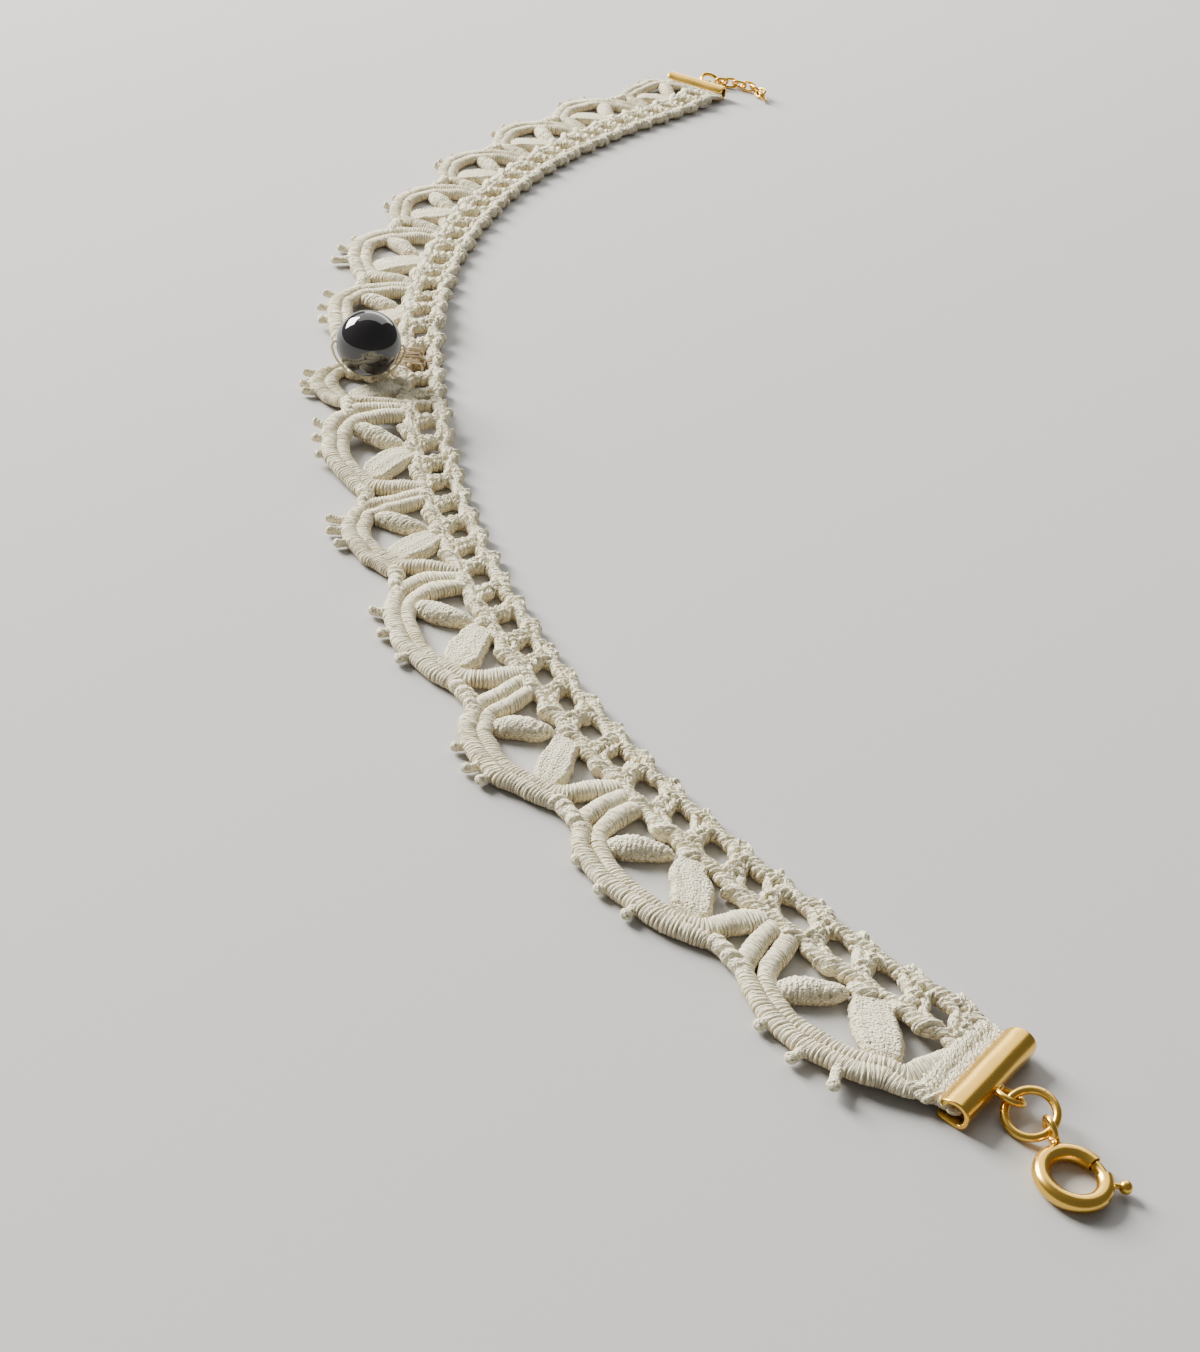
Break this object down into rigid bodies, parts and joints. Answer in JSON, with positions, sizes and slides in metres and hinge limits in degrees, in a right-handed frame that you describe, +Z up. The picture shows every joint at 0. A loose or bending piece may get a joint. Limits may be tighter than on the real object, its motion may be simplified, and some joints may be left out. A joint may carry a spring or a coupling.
{
  "type": "lace choker",
  "caption": "Guipure scallop lace choker laid in an open curve, with crimped gold ends, spring-ring clasp, extender chain and a black bead sewn on.",
  "frame": {"origin": "centre of the bounding box on the surface that the choker lies on", "axes": "+Z up from the surface, +Y from the clasp end towards the chain end, the lace bulging towards -X"},
  "size_m": [0.09, 0.2604, 0.0097],
  "materials": {
    "lace": "ecru cotton guipure, satin-stitched",
    "gold": "gold-plated, polished",
    "hematite": "polished black hematite, opaque mirror gloss",
    "thread": "tan sewing thread"
  },
  "bodies": {
    "band": {"lace_band": "lace", "crimp_near": "gold", "crimp_far": "gold", "bead_thread": "thread"},
    "near_ring": {"jump_ring_near": "gold"},
    "clasp": {"clasp_ring": "gold"},
    "slider": {"clasp_slider": "gold"},
    "far_ring": {"jump_ring_far": "gold"},
    "link_1": {"chain_link_1": "gold"},
    "link_2": {"chain_link_2": "gold"},
    "link_3": {"chain_link_3": "gold"},
    "link_4": {"chain_link_4": "gold"},
    "link_5": {"chain_link_5": "gold"},
    "link_6": {"chain_link_6": "gold"},
    "link_7": {"chain_link_7": "gold"},
    "bead": {"bead": "hematite"}
  },
  "joints": [
    {"name": "near_ring_swing", "type": "hinge", "parent": "band", "child": "near_ring", "pos_m": [0.03634, -0.12026, 0.00121], "axis": [-0.6517, -0.6297, -0.4228], "range_deg": [0, 80]},
    {"name": "clasp_swing", "type": "hinge", "parent": "near_ring", "child": "clasp", "pos_m": [0.03912, -0.12313, 0.00121], "axis": [-0.6517, -0.6297, -0.4228], "range_deg": [0, 60]},
    {"name": "clasp_trigger", "type": "hinge", "parent": "clasp", "child": "slider", "pos_m": [0.04052, -0.12709, 0.0007], "axis": [0, 0, 1], "range_deg": [-34, 0], "stiffness_Nm_per_rad": 0.002, "springref_deg": 8.59},
    {"name": "far_ring_swing", "type": "hinge", "parent": "band", "child": "far_ring", "pos_m": [0.00229, 0.12577, 0.00121], "axis": [0.6629, -0.6179, -0.4229], "range_deg": [0, 60]},
    {"name": "link_1_swing", "type": "hinge", "parent": "far_ring", "child": "link_1", "pos_m": [0.00502, 0.12869, 0.00121], "axis": [0.6629, -0.6179, -0.4229], "range_deg": [0, 30]},
    {"name": "link_2_swing", "type": "hinge", "parent": "link_1", "child": "link_2", "pos_m": [0.00656, 0.12936, 0.00081], "axis": [0.384, -0.445, 0.809], "range_deg": [0, 20]},
    {"name": "link_3_swing", "type": "hinge", "parent": "link_2", "child": "link_3", "pos_m": [0.00836, 0.12949, 0.00095], "axis": [0.141, -0.7308, -0.6678], "range_deg": [0, 20]},
    {"name": "link_4_swing", "type": "hinge", "parent": "link_3", "child": "link_4", "pos_m": [0.01012, 0.12907, 0.00087], "axis": [-0.101, -0.7, 0.707], "range_deg": [0, 20]},
    {"name": "link_5_swing", "type": "hinge", "parent": "link_4", "child": "link_5", "pos_m": [0.01165, 0.12809, 0.00095], "axis": [-0.323, -0.6291, -0.7071], "range_deg": [0, 20]},
    {"name": "link_6_swing", "type": "hinge", "parent": "link_5", "child": "link_6", "pos_m": [0.01277, 0.12667, 0.00087], "axis": [-0.5107, -0.4897, 0.7066], "range_deg": [0, 20]},
    {"name": "link_7_swing", "type": "hinge", "parent": "link_6", "child": "link_7", "pos_m": [0.01337, 0.12496, 0.00095], "axis": [-0.6419, -0.297, -0.7069], "range_deg": [0, 20]},
    {"name": "bead_spin", "type": "hinge", "parent": "band", "child": "bead", "pos_m": [-0.03435, -0.01399, 0.00565], "axis": [-0.9822, -0.188, 0], "continuous": true}
  ]
}
